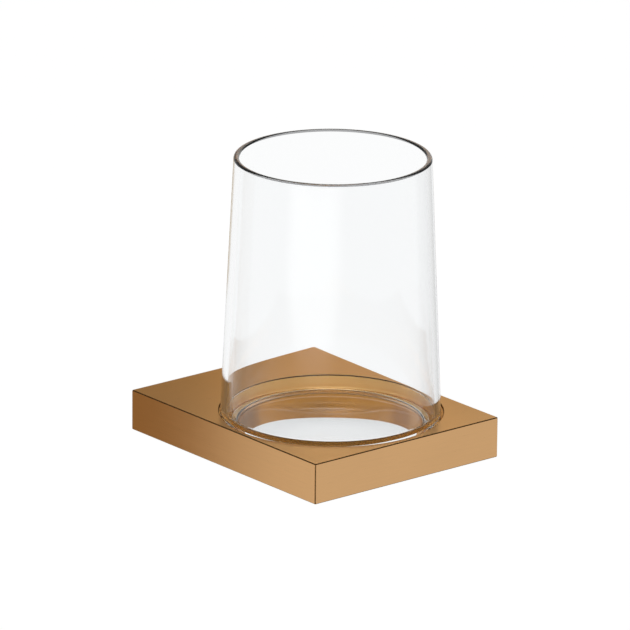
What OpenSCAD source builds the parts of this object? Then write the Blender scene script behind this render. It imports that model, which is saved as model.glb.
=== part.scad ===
// Wall-mounted tumbler holder: a thick brushed block with a stepped round hole that carries
// a loose crystal tumbler, hung on a hidden wall bracket and held there by two grub screws.
//
// Millimetres. The origin is on the wall plane, midway between the two wall screws.
// +X is to the right seen from the room, +Y goes into the wall, +Z is up.

/* [Holder block] */
// Width of the block along the wall
block_w = 90; // [90:1:110]
// How far the block stands out from the wall
block_d = 111.5; // [108:0.5:130]
// Thickness of the block
block_t = 16; // [15.5:0.5:20]
// Width of the fine bevel along every outer edge
block_bevel = 0.35; // [0.2:0.05:0.8]

/* [Tumbler recess] */
// Diameter of the recess that the tumbler stands in
recess_d = 85.8; // [85.6:0.1:86.4]
// Depth of the recess below the top face
recess_depth = 7; // [6:0.5:9]
// Distance from the front face to the axis of the recess
recess_from_front = 45.5; // [44:0.5:50]
// Diameter of the hole that goes on through the ledge
through_d = 71.4; // [60:0.2:72]
// Width of the bevel around the recess and the through hole
hole_bevel = 0.25; // [0.1:0.05:0.5]

/* [Seat ring] */
// Thickness of the clear ring between ledge and tumbler
ring_t = 0.8; // [0.6:0.1:1.5]
// Width of the ring, from its inner edge to its outer edge
ring_band = 6.2; // [4:0.1:6.3]

/* [Tumbler] */
// Height of the tumbler
tumbler_h = 107.3; // [90:0.1:125]
// Outer diameter that the tapered wall reaches at the foot
tumbler_foot_d = 84.8; // [80:0.1:84.8]
// Outer diameter at the rim
tumbler_rim_d = 75.2; // [72:0.1:78]
// Thickness of the tapered wall
tumbler_wall = 2.2; // [2:0.1:4]
// Height of the inner base above the foot
tumbler_base_t = 3; // [2.4:0.1:6]
// Width and height of the sloping heel that joins the inner base to the wall
tumbler_heel = 5; // [3:0.5:6]
// How far the loose tumbler and its ring stand off the recess's axis, along X
tumbler_shift = -0.3; // [-0.3:0.1:0.3]

/* [Wall bracket] */
// Width of the bracket
bracket_w = 60; // [58:1:70]
// Height of the bracket
bracket_h = 9.6; // [9.2:0.1:10]
// Thickness of the bracket, off the wall
bracket_t = 8; // [7:0.5:9]
// Distance between the two wall screws
screw_spacing = 40; // [36:1:44]
// Diameter of each wall-screw hole
screw_hole_d = 4.6; // [4:0.1:5]

/* [Grub screws] */
// Thread diameter of each grub screw
grub_d = 4; // [3.5:0.1:4]
// Length of each grub screw
grub_l = 4; // [3.5:0.1:4]
// Distance between the two grub screws
grub_spacing = 18; // [14:1:20]
// Width across the flats of the hexagon socket
grub_key = 2; // [1.5:0.1:2.2]

/* [Hidden] */
$fn = 96;

eps = 0.5;
// Air left between two faces that rest on each other
rest_gap = 0.05;

// Height of the block's floor under the bracket's pocket, which holds the grub-screw threads
floor_t = 4;
pocket_play = 0.2;
pocket_w = bracket_w + 2;
pocket_h = bracket_h + 2 * pocket_play;
pocket_depth = bracket_t + 0.5;
pocket_corner_r = 2;

block_bottom = -pocket_h / 2 - floor_t;
block_top = block_bottom + block_t;
ledge_z = block_top - recess_depth;
recess_y = -block_d + recess_from_front;

ring_z = ledge_z + rest_gap;
ring_r = recess_d / 2 - 0.6;
ring_round = 0.2;

foot_z = ring_z + ring_t + rest_gap;
foot_round = 1.5;
heel_round = 1.5;
rim_round = 1;
// The underside rises a little towards its middle, so that the tumbler stands on its outer foot
hollow_r = 33;
hollow_depth = 0.5;
// How much the radius shrinks over each millimetre of height
taper = (tumbler_foot_d - tumbler_rim_d) / 2 / tumbler_h;

screw_head_d = 8.4;
sink_depth = (screw_head_d - screw_hole_d) / 2;
bracket_bevel = 0.6;
// The bracket's underside slopes up towards the wall, so that the grub screws draw the block back
slope_front = -bracket_t + 1.4;
slope_back = -2.6;
slope_rise = 2;

grub_y = -4.5;
grub_tip_z = -bracket_h / 2 + 0.3;
grub_point_r = grub_d * 0.31;
grub_play = 0.05;
grub_socket_depth = 2;
thread_sink = 0.4;

// Points of an arc of radius r about [x, y], from angle a0 to angle a1
function arc(x, y, r, a0, a1, steps = 8) =
    [for (i = [0:steps]) let (a = a0 + (a1 - a0) * i / steps) [x + r * cos(a), y + r * sin(a)]];

// A box from low corner to high corner whose twelve edges all have a 45 degree bevel
module bevelled_box(low, high, bevel) {
    size = high - low;
    intersection() {
        translate([low.x, low.y, low.z])
            linear_extrude(size.z)
                bevelled_rectangle(size.x, size.y, bevel);
        translate([low.x, high.y, low.z])
            rotate([90, 0, 0])
                linear_extrude(size.y)
                    bevelled_rectangle(size.x, size.z, bevel);
        translate([low.x, low.y, low.z])
            rotate([90, 0, 90])
                linear_extrude(size.x)
                    bevelled_rectangle(size.y, size.z, bevel);
    }
}

// A rectangle in the first quadrant with its corners cut off at 45 degrees
module bevelled_rectangle(w, h, bevel) {
    polygon([
        [bevel, 0], [w - bevel, 0], [w, bevel], [w, h - bevel],
        [w - bevel, h], [bevel, h], [0, h - bevel], [0, bevel]
    ]);
}

// A hole along Z with a bevelled mouth at its top
module bevelled_hole(r, z0, z1, bevel) {
    translate([0, 0, z0])
        cylinder(r = r, h = z1 - z0 + eps);
    translate([0, 0, z1 - bevel])
        cylinder(r1 = r, r2 = r + bevel + eps, h = bevel + eps);
}

// The open-backed pocket that drops over the wall bracket
module bracket_pocket() {
    translate([-pocket_w / 2, eps, -pocket_h / 2])
        rotate([90, 0, 0])
            linear_extrude(pocket_depth + eps)
                rounded_rectangle(pocket_w, pocket_h, pocket_corner_r);
}

// A rectangle in the first quadrant with round corners
module rounded_rectangle(w, h, r) {
    polygon(concat(
        arc(w - r, h - r, r, 0, 90),
        arc(r, h - r, r, 90, 180),
        arc(r, r, r, 180, 270),
        arc(w - r, r, r, 270, 360)
    ));
}

// One tapped hole up through the floor into the pocket
module grub_thread(x) {
    r = grub_d / 2 + grub_play;
    translate([x, grub_y, block_bottom - eps])
        cylinder(r = r, h = floor_t + 2 * eps);
    translate([x, grub_y, block_bottom - eps])
        cylinder(r1 = r + thread_sink + eps, r2 = r, h = thread_sink + eps);
}

module holder_block() {
    color("peru")
        difference() {
            bevelled_box([-block_w / 2, -block_d, block_bottom], [block_w / 2, 0, block_top], block_bevel);
            translate([0, recess_y, 0]) {
                bevelled_hole(recess_d / 2, ledge_z, block_top, hole_bevel);
                bevelled_hole(through_d / 2, block_bottom - eps, ledge_z, hole_bevel);
            }
            bracket_pocket();
            for (side = [-1, 1])
                grub_thread(side * grub_spacing / 2);
        }
}

module seat_ring() {
    inner = ring_r - ring_band;
    color("white", 0.4)
        translate([tumbler_shift, recess_y, ring_z])
            rotate_extrude()
                translate([inner, 0])
                    bevelled_rectangle(ring_band, ring_t, ring_round);
}

// Half section of the tumbler: round foot, even tapered wall, fire-polished rim, sloping inner heel
module tumbler_section() {
    foot_r = tumbler_foot_d / 2;
    rim_r = tumbler_rim_d / 2;
    bore_r = foot_r - tumbler_wall - taper * (tumbler_base_t + tumbler_heel);
    mouth_r = rim_r - tumbler_wall;
    polygon(concat(
        [[0, hollow_depth], [hollow_r, 0]],
        arc(foot_r - foot_round, foot_round, foot_round, -90, 0),
        arc(rim_r - rim_round, tumbler_h - rim_round, rim_round, 0, 90),
        arc(mouth_r + rim_round, tumbler_h - rim_round, rim_round, 90, 180),
        arc(bore_r - heel_round, tumbler_base_t + tumbler_heel, heel_round, 0, -45),
        arc(bore_r - tumbler_heel, tumbler_base_t + heel_round, heel_round, -45, -90),
        [[0, tumbler_base_t]]
    ));
}

module tumbler() {
    color("aliceblue", 0.35)
        translate([tumbler_shift, recess_y, foot_z])
            rotate_extrude()
                tumbler_section();
}

// Cross-section of the bracket: bevelled front, and an underside that slopes up towards the wall
module bracket_section() {
    half = bracket_h / 2;
    polygon([
        [0, half],
        [-bracket_t + bracket_bevel, half],
        [-bracket_t, half - bracket_bevel],
        [-bracket_t, -half + bracket_bevel],
        [-bracket_t + bracket_bevel, -half],
        [slope_front, -half],
        [slope_back, -half + slope_rise],
        [0, -half + slope_rise]
    ]);
}

// One countersunk hole for a wall screw, driven from the front of the bracket
module wall_screw_hole(x) {
    translate([x, eps, 0])
        rotate([90, 0, 0])
            cylinder(d = screw_hole_d, h = bracket_t + 2 * eps);
    translate([x, -bracket_t + sink_depth, 0])
        rotate([90, 0, 0])
            cylinder(d1 = screw_hole_d, d2 = screw_head_d + 2 * eps, h = sink_depth + eps);
}

module wall_bracket() {
    color("silver")
        difference() {
            translate([-bracket_w / 2, 0, 0])
                rotate([90, 0, 90])
                    linear_extrude(bracket_w)
                        bracket_section();
            for (side = [-1, 1])
                wall_screw_hole(side * screw_spacing / 2);
        }
}

// A headless screw with a flat point at the top and a hexagon socket in its lower end
module grub_screw(x) {
    r = grub_d / 2;
    point = r - grub_point_r;
    color("dimgray")
        translate([x, grub_y, grub_tip_z - grub_l])
            difference() {
                rotate_extrude()
                    polygon([
                        [0, 0], [r - thread_sink, 0], [r, thread_sink],
                        [r, grub_l - point], [grub_point_r, grub_l], [0, grub_l]
                    ]);
                translate([0, 0, -eps])
                    cylinder(d = grub_key / cos(30), h = grub_socket_depth + eps, $fn = 6);
            }
}

module grub_screw_left() {
    grub_screw(-grub_spacing / 2);
}

module grub_screw_right() {
    grub_screw(grub_spacing / 2);
}

holder_block();
seat_ring();
tumbler();
wall_bracket();
grub_screw_left();
grub_screw_right();
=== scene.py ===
"""A wall-mounted tumbler holder: a brushed bronze block with a crystal tumbler in its stepped hole.

The CAD frame gives the pieces' places and overall sizes, and their details repeat the CAD model's. Each
CAD solid is rebuilt here as a finer mesh that lies on it, with its own procedural material. Lengths in
this script are metres; MM turns millimetres into metres.
"""
import math

import bmesh
import bpy
from mathutils import Matrix, Quaternion, Vector


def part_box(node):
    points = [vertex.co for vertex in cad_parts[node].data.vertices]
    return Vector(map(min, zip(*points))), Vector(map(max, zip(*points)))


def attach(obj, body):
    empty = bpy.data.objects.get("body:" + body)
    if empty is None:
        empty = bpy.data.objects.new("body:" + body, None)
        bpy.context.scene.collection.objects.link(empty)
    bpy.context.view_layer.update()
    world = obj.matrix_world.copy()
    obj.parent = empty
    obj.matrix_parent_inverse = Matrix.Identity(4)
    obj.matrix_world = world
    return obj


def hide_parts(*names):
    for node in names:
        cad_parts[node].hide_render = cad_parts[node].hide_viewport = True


MM = 0.001

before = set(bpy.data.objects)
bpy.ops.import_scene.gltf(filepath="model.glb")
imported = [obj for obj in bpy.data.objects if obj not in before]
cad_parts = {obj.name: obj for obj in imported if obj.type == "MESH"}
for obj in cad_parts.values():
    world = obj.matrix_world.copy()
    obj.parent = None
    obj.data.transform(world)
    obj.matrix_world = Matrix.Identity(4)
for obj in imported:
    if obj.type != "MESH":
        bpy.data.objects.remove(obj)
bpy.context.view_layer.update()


# ---------------------------------------------------------------- node helpers

def new_material(name):
    """An empty node material and its output node."""
    material = bpy.data.materials.new(name)
    material.use_nodes = True
    nodes = material.node_tree.nodes
    nodes.clear()
    output = nodes.new("ShaderNodeOutputMaterial")
    return material, output


def set_input(material, node, key, value):
    """Sets one input socket, or links it when the value is another node's socket."""
    if isinstance(value, bpy.types.NodeSocket):
        material.node_tree.links.new(value, node.inputs[key])
    else:
        node.inputs[key].default_value = value


def add(material, kind, inputs=None, **properties):
    """Adds a node with those properties and input values."""
    node = material.node_tree.nodes.new(kind)
    for key, value in properties.items():
        setattr(node, key, value)
    for key, value in (inputs or {}).items():
        set_input(material, node, key, value)
    return node


def surface(material, output, shader):
    """Makes a shader the material's surface."""
    material.node_tree.links.new(shader, output.inputs["Surface"])


def calc(material, operation, a, b=0.0):
    """A Math node's result."""
    node = add(material, "ShaderNodeMath", operation=operation)
    set_input(material, node, 0, a)
    set_input(material, node, 1, b)
    return node.outputs[0]


def plus(material, a, b):
    """The sum of two values."""
    return calc(material, "ADD", a, b)


def times(material, a, b):
    """The product of two values."""
    return calc(material, "MULTIPLY", a, b)


def object_coords(material):
    """The object's own coordinates, in metres."""
    return add(material, "ShaderNodeTexCoord").outputs["Object"]


def split(material, vector):
    """A vector's X, Y and Z."""
    return add(material, "ShaderNodeSeparateXYZ", {"Vector": vector}).outputs


def ramp(material, factor, stops, interpolation="LINEAR"):
    """A colour ramp with the given (position, colour) stops."""
    node = add(material, "ShaderNodeValToRGB", {"Fac": factor})
    node.color_ramp.interpolation = interpolation
    elements = node.color_ramp.elements
    while len(elements) < len(stops):
        elements.new(0.5)
    for element, (position, colour) in zip(elements, stops):
        element.position = position
        element.color = (*colour, 1.0)
    return node.outputs["Color"]


def remap(material, value, low, high, new_low, new_high):
    """A clamped linear remap."""
    limits = {"Value": value, "From Min": low, "From Max": high, "To Min": new_low, "To Max": new_high}
    return add(material, "ShaderNodeMapRange", limits).outputs["Result"]


def noise(material, vector, scale, detail, roughness):
    """A noise texture's value."""
    inputs = {"Vector": vector, "Scale": scale, "Detail": detail, "Roughness": roughness}
    return add(material, "ShaderNodeTexNoise", inputs).outputs["Fac"]


def stretched(material, vector, scales):
    """A coordinate scaled apart along its three axes, which draws noise out into grain."""
    node = add(material, "ShaderNodeVectorMath", operation="MULTIPLY")
    set_input(material, node, 0, vector)
    node.inputs[1].default_value = scales
    return node.outputs["Vector"]


def bump(material, height, strength, distance):
    """A bump normal from a height."""
    inputs = {"Height": height, "Strength": strength, "Distance": distance}
    return add(material, "ShaderNodeBump", inputs).outputs["Normal"]


def blend(material, factor, first, second):
    """A mix of two shaders: the first where the factor is 0, the second where it is 1."""
    mix = add(material, "ShaderNodeMixShader")
    for index, value in enumerate((factor, first.outputs[0], second.outputs[0])):
        set_input(material, mix, index, value)
    return mix.outputs["Shader"]


# ---------------------------------------------------------------- materials

# How much lighter and darker than its colour a metal's marks are, and how deep they lie
CONTRAST = 0.05
MARK_DEPTH = 0.02 * MM
# Colours of metal at a glancing angle
PALE = (0.9, 0.9, 0.9)
WARM = (0.88, 0.74, 0.56)


def metal(name, colour, roughness, coords, fine, broad, grain=0.05, tint=PALE, body=1.0):
    """Worked metal. coords gives the coordinates its marks follow, from the material.

    fine and broad are the marks' scales per metre along the three coordinates. grain is the marks'
    strength, tint the colour at a glancing angle, and body how far the surface shines as metal: the
    rest of it scatters light.
    """
    material, output = new_material(name)
    vector = coords(material)
    fine_marks = noise(material, stretched(material, vector, fine), 1.0, 3.0, 0.6)
    broad_marks = noise(material, stretched(material, vector, broad), 1.0, 2.0, 0.5)
    cloud = noise(material, object_coords(material), 30.0, 3.0, 0.5)
    marks = plus(material, times(material, fine_marks, 0.6), times(material, broad_marks, 0.4))
    tone = plus(material, times(material, marks, 0.7), times(material, cloud, 0.3))
    dark = tuple(c * (1 - CONTRAST) for c in colour)
    light = tuple(min(1.0, c * (1 + CONTRAST)) for c in colour)
    shader = add(material, "ShaderNodeBsdfPrincipled", {
        "Base Color": ramp(material, tone, [(0.35, dark), (0.65, light)]),
        "Metallic": body,
        "Roughness": remap(material, marks, 0.3, 0.7, roughness - 0.03, roughness + 0.04),
        "Specular Tint": (*tint, 1.0),
        "Normal": bump(material, marks, grain, MARK_DEPTH),
    })
    surface(material, output, shader.outputs["BSDF"])
    return material


# Radius at which an angle is turned into a length along a lathe mark
TURN_RADIUS = 0.04


def turned_coords(centre):
    """Coordinates for lathe marks: distance from a vertical axis, angle and height."""
    def build(material):
        x, y, z = split(material, object_coords(material))
        dx = calc(material, "SUBTRACT", x, centre.x)
        dy = calc(material, "SUBTRACT", y, centre.y)
        radius = calc(material, "SQRT", plus(material, times(material, dx, dx), times(material, dy, dy)))
        angle = calc(material, "ARCTAN2", dy, dx)
        turn = times(material, angle, TURN_RADIUS)
        return add(material, "ShaderNodeCombineXYZ", {"X": radius, "Y": turn, "Z": z}).outputs["Vector"]
    return build


block_low, block_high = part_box("holder_block")
ring_low, ring_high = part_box("seat_ring")
glass_low, glass_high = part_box("tumbler")
recess_axis = Vector((0, (ring_low.y + ring_high.y) / 2, 0))
glass_axis = (glass_low + glass_high) / 2

BRONZE = (0.80, 0.475, 0.22)
# Scales of brushed grain per metre: across it, along it, and its broader marks
FINE, ALONG, BROAD = 12000, 150, 3500


def brushed_bronze(name, along_axis):
    """Bronze with brushed grain along one axis: 0 for X, 1 for Y."""
    fine = [FINE] * 3
    broad = [BROAD] * 3
    fine[along_axis] = ALONG
    broad[along_axis] = ALONG / 3
    return metal(name, BRONZE, 0.30, object_coords, fine, broad, tint=WARM)


def turned_bronze(name, colour, body):
    """Bronze with the fine rings that a lathe leaves about the recess's axis."""
    fine, broad = (6000, 100, 6000), (1500, 40, 1500)
    marks = turned_coords(recess_axis)
    return metal(name, colour, 0.24, marks, fine, broad, grain=0.06, tint=WARM, body=body)


bronze_x = brushed_bronze("bronze_grain_x", 0)
bronze_y = brushed_bronze("bronze_grain_y", 1)
# The bevels' near-black bronze is a painted dark reflection: the dark outline that the block's edges show.
bronze_edge_painted_dark = metal(
    "bronze_edge_painted_dark", (0.17, 0.085, 0.03), 0.25, object_coords, (3000, 3000, 3000), (600, 600, 600), tint=WARM,
)
# The recess wall's bronze is lighter than the block's: painted light inside the recess.
bronze_turned_painted_light = turned_bronze("bronze_turned_painted_light", (0.99, 0.61, 0.25), 0.4)
# The ledge's bronze is much darker: painted shade on the ledge under the glass.
bronze_ledge_painted_shade = turned_bronze("bronze_ledge_painted_shade", (0.53, 0.25, 0.055), 0.4)
# The bore's bronze is darker: painted shade inside the through hole.
bronze_bore_painted_shade = turned_bronze("bronze_bore_painted_shade", (0.60, 0.27, 0.045), 0.6)
bronze_milled = metal(
    "bronze_milled", (0.42, 0.25, 0.12), 0.38, object_coords, (2500, 2500, 300), (700, 700, 90), grain=0.1,
)
steel_sawn = metal(
    "steel_sawn", (0.56, 0.56, 0.55), 0.36, object_coords, (60, 9000, 9000), (40, 1500, 1500), grain=0.12,
)
steel_turned = metal(
    "steel_turned", (0.36, 0.36, 0.37), 0.3, object_coords, (900, 900, 9000), (400, 400, 2500), grain=0.1,
)


CRYSTAL_IOR = 1.52
# An index so low that light goes out through a rounded edge, and isn't held inside it
OPEN_IOR = 1.15
CRYSTAL_SHADOW = (0.96, 0.965, 0.965)
WAVE_DEPTH = 0.4 * MM


def glass_material(name, tint, ior, gloss, waves=(28.0, 0.03), shadow=CRYSTAL_SHADOW):
    """Clear glass: faint waviness, and light passes through to what it stands on.

    gloss scales its reflections, waves are the waviness's scale and strength, and shadow is the
    colour of the light that it lets through.
    """
    material, output = new_material(name)
    wave_scale, wave_strength = waves
    ripple = noise(material, object_coords(material), wave_scale, 1.0, 0.4)
    glass = add(material, "ShaderNodeBsdfPrincipled", {
        "Base Color": (*tint, 1.0),
        "Roughness": 0.0,
        "IOR": ior,
        "Transmission Weight": 1.0,
        "Specular Tint": (gloss, gloss, gloss, 1.0),
        "Normal": bump(material, ripple, wave_strength, WAVE_DEPTH),
    })
    clear = add(material, "ShaderNodeBsdfTransparent", {"Color": (*shadow, 1.0)})
    in_shadow = add(material, "ShaderNodeLightPath").outputs["Is Shadow Ray"]
    surface(material, output, blend(material, in_shadow, glass, clear))
    return material


# The tumbler is one glass in four finishes: its wall, the outside of its foot, its rim and its base. The
# rim's dark grey is a painted dark reflection.
crystal = glass_material("crystal", (0.965, 0.972, 0.975), CRYSTAL_IOR, 0.22)
crystal_foot = glass_material("crystal_foot", (0.97, 0.975, 0.978), OPEN_IOR, 0.5)
crystal_base = glass_material("crystal_base", (0.92, 0.93, 0.938), CRYSTAL_IOR, 0.06, waves=(28.0, 0.05))
# The rim's dark grey colour is a painted dark reflection, the dark that a rounded glass rim shows.
crystal_rim_painted_dark = glass_material("crystal_rim_painted_dark", (0.16, 0.163, 0.167), CRYSTAL_IOR, 0.8)
clear_plastic = glass_material(
    "clear_plastic", (0.99, 0.99, 0.985), OPEN_IOR, 0.22, waves=(90.0, 0.02), shadow=(0.98, 0.98, 0.98),
)


# ---------------------------------------------------------------- mesh helpers

def link(name, bm, materials):
    """Turns a bmesh into an object with those materials."""
    mesh = bpy.data.meshes.new(name)
    bm.to_mesh(mesh)
    bm.free()
    for material in materials:
        mesh.materials.append(material)
    piece = bpy.data.objects.new(name, mesh)
    bpy.context.scene.collection.objects.link(piece)
    return piece


def arc(x, y, radius, start, end, steps=12):
    """Points of a circular arc in a section plane, angles in degrees."""
    points = []
    for i in range(steps + 1):
        angle = math.radians(start + (end - start) * i / steps)
        points.append((x + radius * math.cos(angle), y + radius * math.sin(angle)))
    return points


def guarded(points, guard=0.05 * MM, longest=2.0 * MM):
    """Cuts a section's long straight stretches up, with a short one at each end.

    The short ones keep the smooth shading of a straight wall from leaning into the curve beside it.
    """
    result = [points[0]]
    for a, b in zip(points, points[1:]):
        length = math.dist(a, b)
        if length > longest:
            count = math.ceil(length / longest)
            fractions = [guard / length] + [i / count for i in range(1, count)] + [1 - guard / length]
            result += [(a[0] + (b[0] - a[0]) * f, a[1] + (b[1] - a[1]) * f) for f in fractions]
        result.append(b)
    return result


def lathe(name, section, centre, materials, segments=256, closed=False, slots=None):
    """Turns a section of (radius, height) points about the vertical through centre.

    A point at radius 0 becomes a pole. closed joins the last point to the first.
    slots gives a material index for each stretch between two points.
    """
    bm = bmesh.new()
    rings = []
    for radius, height in section:
        count = segments if radius > 0 else 1
        turns = [2 * math.pi * i / count for i in range(count)]
        points = [Vector((radius * math.cos(a), radius * math.sin(a), height)) for a in turns]
        rings.append([bm.verts.new(centre + point) for point in points])
    pairs = list(zip(rings, rings[1:] + rings[:1]))
    if not closed:
        pairs.pop()
    for k, (a, b) in enumerate(pairs):
        for i in range(segments):
            j = (i + 1) % segments
            corners = [a[i % len(a)], a[j % len(a)], b[j % len(b)], b[i % len(b)]]
            face = bm.faces.new(list(dict.fromkeys(corners)))
            face.smooth = True
            face.material_index = slots[k] if slots else 0
    bmesh.ops.recalc_face_normals(bm, faces=bm.faces)
    return link(name, bm, materials)


def prism(name, outline, direction, depth, materials, index=0):
    """A straight prism: a closed outline of 3-D points drawn out along a direction."""
    bm = bmesh.new()
    step = Vector(direction) * depth
    near = [bm.verts.new(p) for p in outline]
    far = [bm.verts.new(Vector(p) + step) for p in outline]
    bm.faces.new(near)
    bm.faces.new(far)
    count = len(outline)
    for i in range(count):
        j = (i + 1) % count
        bm.faces.new([near[i], near[j], far[j], far[i]])
    bmesh.ops.recalc_face_normals(bm, faces=bm.faces)
    for face in bm.faces:
        face.material_index = index
    return link(name, bm, materials)


def cut(piece, cutters):
    """Cuts solids out of a piece exactly, then keeps only the result."""
    for cutter in cutters:
        modifier = piece.modifiers.new(cutter.name, "BOOLEAN")
        modifier.operation = "DIFFERENCE"
        modifier.solver = "EXACT"
        modifier.object = cutter
    graph = bpy.context.evaluated_depsgraph_get()
    mesh = bpy.data.meshes.new_from_object(piece.evaluated_get(graph))
    piece.modifiers.clear()
    piece.data = mesh
    for cutter in cutters:
        bpy.data.objects.remove(cutter)


def crease(piece, angle=25):
    """Smooth shading, with sharp edges wherever two faces meet at more than the angle."""
    piece.data.shade_smooth()
    piece.data.set_sharp_from_angle(angle=math.radians(angle))


def finish_piece(piece, node, body):
    """Hangs a piece on the body it rides on and hides the CAD node that it stands for."""
    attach(piece, body)
    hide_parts(node)


# ---------------------------------------------------------------- camera, lights, floor

def add_camera():
    """A long lens from the front left, a little above, with the slight roll that levels the object."""
    aim = Vector((-0.00223, -0.0585, 0.04369))
    azimuth, elevation, roll = (math.radians(a) for a in (-39.48, 17.90, 0.53))
    distance = 2.844
    back = Vector((
        math.sin(azimuth) * math.cos(elevation),
        -math.cos(azimuth) * math.cos(elevation),
        math.sin(elevation),
    ))
    camera = bpy.data.objects.new("camera", bpy.data.cameras.new("camera"))
    camera.data.lens = 426.8
    camera.data.sensor_width = 36
    camera.data.clip_end = 100
    camera.location = aim + back * distance
    camera.rotation_mode = "QUATERNION"
    camera.rotation_quaternion = (-back).to_track_quat("-Z", "Y") @ Quaternion((0, 0, 1), roll)
    bpy.context.scene.collection.objects.link(camera)
    bpy.context.scene.camera = camera


FLOOR_Z = -0.6
FLOOR_HALF = 15


def add_floor():
    """A pale floor well below the object, which hangs in the air as it would on a wall.

    It is clear from underneath, so that the object can be looked at from below.
    """
    bm = bmesh.new()
    bmesh.ops.create_grid(bm, x_segments=1, y_segments=1, size=FLOOR_HALF)
    material, output = new_material("floor")
    matt = add(material, "ShaderNodeBsdfPrincipled", {
        "Base Color": (0.25, 0.25, 0.25, 1.0),
        "Roughness": 0.9,
        "Emission Color": (1, 1, 1, 1),
        "Emission Strength": 0.92,
    })
    clear = add(material, "ShaderNodeBsdfTransparent")
    from_below = add(material, "ShaderNodeNewGeometry").outputs["Backfacing"]
    surface(material, output, blend(material, from_below, matt, clear))
    floor = link("floor", bm, [material])
    floor.location.z = FLOOR_Z
    floor.visible_glossy = False


def add_world(stops, shade_towards, shade_from, shade_to, shade):
    """A soft studio. stops are (direction's height from -1 to 1, brightness).

    The light falls to the factor shade towards one direction, as it does on a set's open side. It
    starts to fall where the cosine of the angle to that direction is shade_from, and ends at shade_to.
    """
    world = bpy.data.worlds.new("studio")
    bpy.context.scene.world = world
    world.use_nodes = True
    world.node_tree.nodes.clear()
    output = add(world, "ShaderNodeOutputWorld")
    direction = add(world, "ShaderNodeTexCoord").outputs["Generated"]
    height = remap(world, split(world, direction)[2], -1, 1, 0, 1)
    level = ramp(world, height, [((z + 1) / 2, (v, v, v * 1.01)) for z, v in stops], "EASE")
    aligned = add(world, "ShaderNodeVectorMath", operation="DOT_PRODUCT")
    set_input(world, aligned, 0, direction)
    aligned.inputs[1].default_value = Vector(shade_towards).normalized()
    factor = remap(world, aligned.outputs["Value"], shade_from, shade_to, 1.0, shade)
    background = add(world, "ShaderNodeBackground", {"Color": level, "Strength": factor})
    set_input(world, output, "Surface", background.outputs["Background"])


def add_card(
    name, centre, target, width, height, colour, strength, softness,
    glossy=True, through=False, diffuse=False,
):
    """A studio card that faces a target.

    Its light fades out smoothly towards its edges, over the share softness of each half-side. glossy
    shows it in reflections, through shows it through the glass, and diffuse lets it light matt
    surfaces. The camera never sees it.
    """
    bm = bmesh.new()
    bmesh.ops.create_grid(bm, x_segments=1, y_segments=1, size=1)
    material, output = new_material(name)
    x, y, _ = split(material, object_coords(material))
    fade_x, fade_y = (
        remap(material, calc(material, "ABSOLUTE", side), 1 - softness, 1.0, 1.0, 0.0) for side in (x, y)
    )
    fade = times(material, fade_x, fade_y)
    eased = times(material, fade, calc(material, "SUBTRACT", 3.0, times(material, fade, 2.0)))
    mask = times(material, eased, fade)
    light = add(material, "ShaderNodeEmission", {"Color": (*colour, 1.0), "Strength": strength})
    clear = add(material, "ShaderNodeBsdfTransparent")
    surface(material, output, blend(material, mask, clear, light))
    card = link(name, bm, [material])
    card.location = centre
    card.scale = (width / 2, height / 2, 1)
    card.rotation_mode = "QUATERNION"
    card.rotation_quaternion = (Vector(target) - Vector(centre)).to_track_quat("Z", "Y")
    card.visible_camera = False
    card.visible_diffuse = diffuse
    card.visible_shadow = False
    card.visible_glossy = glossy
    card.visible_transmission = through


SKY = [(-1.0, 0.8), (0.0, 0.80), (0.1, 0.4), (0.3, 0.25), (1.0, 0.35)]
OPEN_SIDE = (-0.6, -0.735, 0.0)

add_camera()
add_world(SKY, OPEN_SIDE, shade_from=0.1, shade_to=0.9, shade=0.5)
add_floor()

add_card(
    "left_flag", (-0.13, 0.17, -0.045), (0, 0.17, -0.045), 0.28, 0.3,
    (0.9, 0.59, 0.29), 0.31, 0.2,
)
add_card(
    "top_light", (0.193, 0.099, 0.20), (0.035, -0.094, 0.20), 0.22, 0.22,
    (1, 0.97, 0.92), 1.05, 0.35, through=True,
)
add_card(
    "top_flag", (0.123, 0.155, 0.03), (-0.035, -0.038, 0.0), 0.24, 0.13,
    (0.40, 0.30, 0.16), 1.0, 0.3,
)
add_card(
    "back_flag", (0.139, 0.104, 0.045), (0, -0.066, 0.045), 0.09, 0.085,
    (0.58, 0.45, 0.26), 1.0, 0.3,
)
add_card(
    "warm_fill", (-0.3, -0.43, 0.42), (0, -0.066, 0), 0.4, 0.4,
    (1, 0.83, 0.58), 8.0, 0.3, glossy=False, diffuse=True,
)
add_card(
    "base_flag", (0.444, 0.476, 0.185), (0, -0.066, 0.185), 0.17, 0.106,
    (0.16, 0.085, 0.03), 1.0, 0.12, glossy=False, through=True,
)
add_card(
    "front_light", (-0.6, -0.735, 0.5), (0, -0.066, 0), 1.4, 0.7,
    (1, 1, 1), 1.9, 0.6, through=True, diffuse=True,
)
add_card(
    "streak", (-0.517, -0.373, -0.05), (0, -0.066, 0.08), 0.85, 0.12,
    (1, 1, 1), 6.5, 0.6,
)
add_card(
    "right_flag", (0.5, -0.05, -0.10), (0, -0.066, 0.06), 0.56, 0.6,
    (0.1, 0.1, 0.1), 1.0, 0.4,
)

bpy.context.scene.view_settings.view_transform = "Standard"
bounces = bpy.context.scene.cycles
bounces.max_bounces = 32
bounces.glossy_bounces = 24
bounces.transmission_bounces = 32
bounces.transparent_max_bounces = 16


# ---------------------------------------------------------------- holder block

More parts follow.
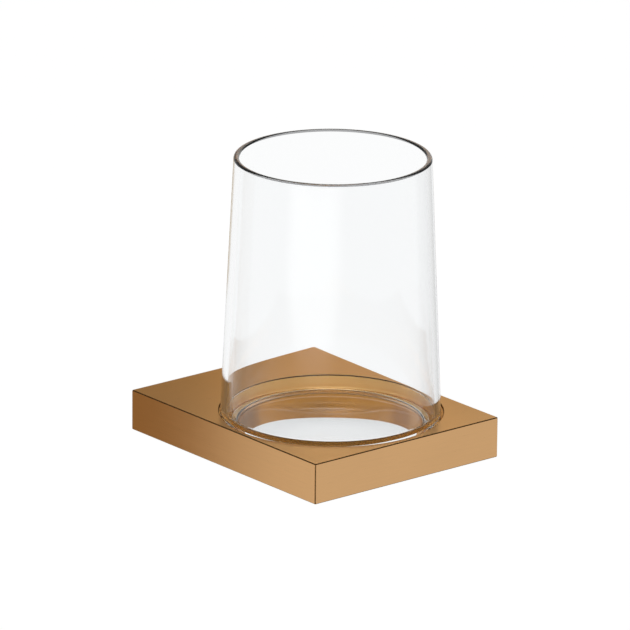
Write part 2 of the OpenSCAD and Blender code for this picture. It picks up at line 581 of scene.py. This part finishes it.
# Block slots: the bevels and the lip band are painted dark, the recess wall painted light, the ledge and
# the bore painted shade.
GRAIN_X, GRAIN_Y, EDGE_PAINTED_DARK, TURNED_PAINTED_LIGHT, MILLED, BORE_PAINTED_SHADE, LEDGE_PAINTED_SHADE = range(7)
BLOCK_MATERIALS = [bronze_x, bronze_y, bronze_edge_painted_dark, bronze_turned_painted_light, bronze_milled, bronze_bore_painted_shade, bronze_ledge_painted_shade]

BEVEL = 0.35 * MM
HOLE_BEVEL = 0.25 * MM
RECESS_R = 42.9 * MM
THROUGH_R = 35.7 * MM
RECESS_DEPTH = 7 * MM
# Height of the band under the recess's lip that is painted dark: painted shade in the gap beside the glass
LIP_PAINTED_SHADE_BAND = 0.8 * MM
# How far a cutter reaches past the metal that it cuts
OVER = 1 * MM
# Least part of a face's normal along one axis that makes it a flat side of the block
SQUARE = 0.99

GRUB_X, GRUB_Y = 9 * MM, -4.5 * MM
GRUB_R = 2 * MM
GRUB_SINK = 0.4 * MM


def bevelled_block():
    """The block's outside: a box with a fine bevel along every edge."""
    bm = bmesh.new()
    size = block_high - block_low
    middle = (block_high + block_low) / 2
    bmesh.ops.create_cube(bm, size=1)
    for vert in bm.verts:
        vert.co = Vector(a * b for a, b in zip(vert.co, size)) + middle
    bmesh.ops.bevel(bm, geom=bm.edges[:], offset=BEVEL, segments=1, affect="EDGES", profile=0.5)
    bmesh.ops.recalc_face_normals(bm, faces=bm.faces)
    for face in bm.faces:
        x, y, z = (abs(c) for c in face.normal)
        # Bevel faces take the bevels' painted dark reflection.
        if max(x, y, z) < SQUARE:
            face.material_index = EDGE_PAINTED_DARK
        elif x > SQUARE:
            face.material_index = GRAIN_Y
        else:
            face.material_index = GRAIN_X
    return link("bronze_block", bm, BLOCK_MATERIALS)


def stepped_hole():
    """What the recess, ledge and through hole take out of the block, bevels included."""
    top, bottom = block_high.z, block_low.z
    ledge = top - RECESS_DEPTH
    section = [
        (0, top + OVER),
        (RECESS_R + HOLE_BEVEL + OVER, top + OVER),
        (RECESS_R, top - HOLE_BEVEL),
        (RECESS_R, top - HOLE_BEVEL - LIP_PAINTED_SHADE_BAND),
        (RECESS_R, ledge),
        (THROUGH_R + HOLE_BEVEL, ledge),
        (THROUGH_R, ledge - HOLE_BEVEL),
        (THROUGH_R, bottom - OVER),
        (0, bottom - OVER),
    ]
    # The lip band takes the bevels' dark colour as painted shade; the recess wall is painted light, the
    # ledge and the bore painted shade.
    slots = [EDGE_PAINTED_DARK, EDGE_PAINTED_DARK, EDGE_PAINTED_DARK, TURNED_PAINTED_LIGHT, LEDGE_PAINTED_SHADE, EDGE_PAINTED_DARK, BORE_PAINTED_SHADE, EDGE_PAINTED_DARK]
    return lathe("stepped_hole", section, recess_axis, BLOCK_MATERIALS, slots=slots)


def wall_pocket():
    """The pocket in the back that drops over the bracket."""
    half_w, half_h, corner = 31 * MM, 5 * MM, 2 * MM
    depth = 8.5 * MM
    outline = []
    for x, z, start in ((1, 1, 0), (-1, 1, 90), (-1, -1, 180), (1, -1, 270)):
        outline += arc(x * (half_w - corner), z * (half_h - corner), corner, start, start + 90, 8)
    points = [(x, OVER, z) for x, z in outline]
    return prism("wall_pocket", points, (0, -1, 0), depth + OVER, BLOCK_MATERIALS, MILLED)


def grub_hole(x):
    """One tapped hole up through the block's floor into the pocket, with a small sink at its mouth."""
    r = GRUB_R + 0.05 * MM
    bottom, in_pocket = block_low.z, -4.5 * MM
    section = [
        (0, bottom - OVER),
        (r + GRUB_SINK + OVER, bottom - OVER),
        (r, bottom + GRUB_SINK),
        (r, in_pocket),
        (0, in_pocket),
    ]
    # The sink at the hole's mouth takes the bevels' painted dark reflection.
    slots = [MILLED, EDGE_PAINTED_DARK, MILLED, MILLED]
    return lathe("grub_hole", section, Vector((x, GRUB_Y, 0)), BLOCK_MATERIALS, 64, slots=slots)


def holder_block():
    """The block, with its stepped hole, the pocket in its back and two tapped holes."""
    piece = bevelled_block()
    cut(piece, [stepped_hole(), wall_pocket(), grub_hole(-GRUB_X), grub_hole(GRUB_X)])
    crease(piece)
    finish_piece(piece, "holder_block", "holder")


# ---------------------------------------------------------------- seat ring and tumbler

def seat_ring():
    """The clear ring between ledge and glass, with softly rounded edges."""
    band, r = 6.2 * MM, 0.2 * MM
    outer = (ring_high.x - ring_low.x) / 2
    inner = outer - band
    height = ring_high.z - ring_low.z
    section = arc(outer - r, r, r, -90, 0, 6) + arc(outer - r, height - r, r, 0, 90, 6)
    section += arc(inner + r, height - r, r, 90, 180, 6) + arc(inner + r, r, r, 180, 270, 6)
    section = guarded(section + [section[0]], 0.02 * MM, 0.4 * MM)[:-1]
    centre = Vector((glass_axis.x, recess_axis.y, ring_low.z))
    piece = lathe("clear_seat_ring", section, centre, [clear_plastic], closed=True)
    finish_piece(piece, "seat_ring", "ring")


GLASS_WALL, GLASS_FOOT, GLASS_RIM_PAINTED_DARK, GLASS_BASE = range(4)
GLASS_MATERIALS = [crystal, crystal_foot, crystal_rim_painted_dark, crystal_base]
# The rim's dark grey, a painted dark reflection, reaches down by the band below. The foot's finish lies
# outside its reach, the base's inside its own.
RIM_PAINTED_DARK_BAND = 0.7 * MM
FOOT_REACH, FOOT_HEIGHT = 41 * MM, 5 * MM
BASE_REACH, BASE_HEIGHT = 40.5 * MM, 8.6 * MM


def glass_zone(reach, height, rim_height):
    """The finish at that distance from the tumbler's axis and that height above its foot: near the top, the
    rim's painted dark reflection.
    """
    if height > rim_height - RIM_PAINTED_DARK_BAND:
        return GLASS_RIM_PAINTED_DARK
    if reach > FOOT_REACH and height < FOOT_HEIGHT:
        return GLASS_FOOT
    if reach < BASE_REACH and height < BASE_HEIGHT:
        return GLASS_BASE
    return GLASS_WALL


def tumbler():
    """The glass, turned from one section: round foot, even tapered wall, fire-polished rim.

    Its underside is hollow by a fraction of a millimetre, so that it stands on its outer foot.
    """
    height = glass_high.z - glass_low.z
    foot_r = 42.4 * MM
    rim_r = 37.6 * MM
    wall = 2.2 * MM
    base = 3.0 * MM
    foot_round, rim_round = 1.5 * MM, 1.0 * MM
    heel, heel_round = 5.0 * MM, 1.5 * MM
    taper = (foot_r - rim_r) / height
    bore_r, mouth_r = foot_r - wall - taper * (base + heel), rim_r - wall
    hollow_r, hollow_depth, steps = 33 * MM, 0.5 * MM, 20
    fractions = [i / steps for i in range(steps + 1)]
    section = [(hollow_r * f, hollow_depth / 2 * (1 + math.cos(math.pi * f))) for f in fractions]
    section += arc(foot_r - foot_round, foot_round, foot_round, -90, 0)
    section += arc(rim_r - rim_round, height - rim_round, rim_round, 0, 90)
    section += arc(mouth_r + rim_round, height - rim_round, rim_round, 90, 180)
    section += arc(bore_r - heel_round, base + heel, heel_round, 0, -45)
    section += arc(bore_r - heel, base + heel_round, heel_round, -45, -90)
    section += [(0, base)]
    centre = Vector((glass_axis.x, glass_axis.y, glass_low.z))
    piece = lathe("crystal_tumbler", guarded(section), centre, GLASS_MATERIALS)
    for face in piece.data.polygons:
        place = face.center - centre
        face.material_index = glass_zone(math.hypot(place.x, place.y), place.z, height)
    finish_piece(piece, "tumbler", "glass")


# ---------------------------------------------------------------- wall bracket and grub screws

SCREW_X = 20 * MM
# Edges that turn more than SHARP are rounded by TUMBLED
SHARP = math.radians(35)
TUMBLED = 0.2 * MM


def screw_hole(x):
    """One countersunk hole for a wall screw, drilled from the bracket's front."""
    depth, radius, head_radius = 8 * MM, 2.3 * MM, 4.2 * MM
    sink_start = depth - (head_radius - radius)
    section = [
        (0, -OVER),
        (radius, -OVER),
        (radius, sink_start),
        (head_radius + OVER, depth + OVER),
        (0, depth + OVER),
    ]
    cutter = lathe("screw_hole", section, Vector((0, 0, 0)), [steel_sawn], 96)
    cutter.data.transform(Matrix.Translation((x, 0, 0)) @ Matrix.Rotation(math.radians(90), 4, "X"))
    return cutter


def wall_bracket():
    """The bar in the block's back: bevelled front, underside sloping up to the wall, edges tumbled."""
    low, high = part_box("wall_bracket")
    half = high.z
    bevel, slope_front, slope_back, slope_rise = 0.6 * MM, -6.6 * MM, -2.6 * MM, 2 * MM
    outline = [
        (high.y, half),
        (low.y + bevel, half),
        (low.y, half - bevel),
        (low.y, bevel - half),
        (low.y + bevel, -half),
        (slope_front, -half),
        (slope_back, slope_rise - half),
        (high.y, slope_rise - half),
    ]
    points = [(low.x, y, z) for y, z in outline]
    piece = prism("steel_wall_bracket", points, (1, 0, 0), high.x - low.x, [steel_sawn])
    bm = bmesh.new()
    bm.from_mesh(piece.data)
    sharp = [edge for edge in bm.edges if edge.calc_face_angle() > SHARP]
    bmesh.ops.bevel(bm, geom=sharp, offset=TUMBLED, segments=2, affect="EDGES", profile=0.5)
    bm.to_mesh(piece.data)
    bm.free()
    cut(piece, [screw_hole(-SCREW_X), screw_hole(SCREW_X)])
    crease(piece)
    finish_piece(piece, "wall_bracket", "holder")


def grub_screw(node, body):
    """A headless M4 screw with a real thread, a flat point at the top and a hexagon socket below."""
    low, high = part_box(node)
    axis = Vector(((low.x + high.x) / 2, (low.y + high.y) / 2, low.z))
    length = high.z - low.z
    crest, root, pitch = GRUB_R, 1.6 * MM, 0.7 * MM
    point_r = 1.24 * MM
    flat_r, socket_depth, drill_cone = 1 * MM, 2 * MM, 0.4 * MM
    segments, steps = 60, 58
    turn = 2 * math.pi / segments
    angles = [i * turn for i in range(segments)]

    def thread_radius(height, angle):
        """A helical groove with a narrow flat root, inside the screw's two chamfered ends."""
        phase = (height / pitch - angle / (2 * math.pi)) % 1
        groove = min(1, max(0, 1.25 - 2.5 * abs(phase - 0.5)))
        envelope = min(crest, crest - GRUB_SINK + height, point_r + length - height)
        return min(envelope, crest - (crest - root) * groove)

    def hexagon_radius(angle):
        """A hexagon's distance from its middle."""
        return flat_r / math.cos((angle + math.pi / 6) % (math.pi / 3) - math.pi / 6)

    bm = bmesh.new()

    def ring(height, radius):
        """A ring of points about the axis. radius gives each one's distance, from its angle."""
        points = [Vector((radius(a) * math.cos(a), radius(a) * math.sin(a), height)) for a in angles]
        return [bm.verts.new(axis + point) for point in points]

    rings = [ring(socket_depth, hexagon_radius), ring(0, hexagon_radius)]
    for k in range(steps + 1):
        height = length * k / steps
        rings.append(ring(height, lambda a, h=height: thread_radius(h, a)))
    for a, b in zip(rings, rings[1:]):
        for i in range(segments):
            j = (i + 1) % segments
            bm.faces.new([a[i], a[j], b[j], b[i]])
    drill_tip = bm.verts.new(axis + Vector((0, 0, socket_depth + drill_cone)))
    point = bm.verts.new(axis + Vector((0, 0, length)))
    for centre, edge in ((drill_tip, rings[0]), (point, rings[-1])):
        for i in range(segments):
            bm.faces.new([centre, edge[i], edge[(i + 1) % segments]])
    bmesh.ops.recalc_face_normals(bm, faces=bm.faces)
    piece = link("threaded_" + node, bm, [steel_turned])
    crease(piece, 50)
    finish_piece(piece, node, body)


holder_block()
seat_ring()
tumbler()
wall_bracket()
grub_screw("grub_screw_left", "left_screw")
grub_screw("grub_screw_right", "right_screw")
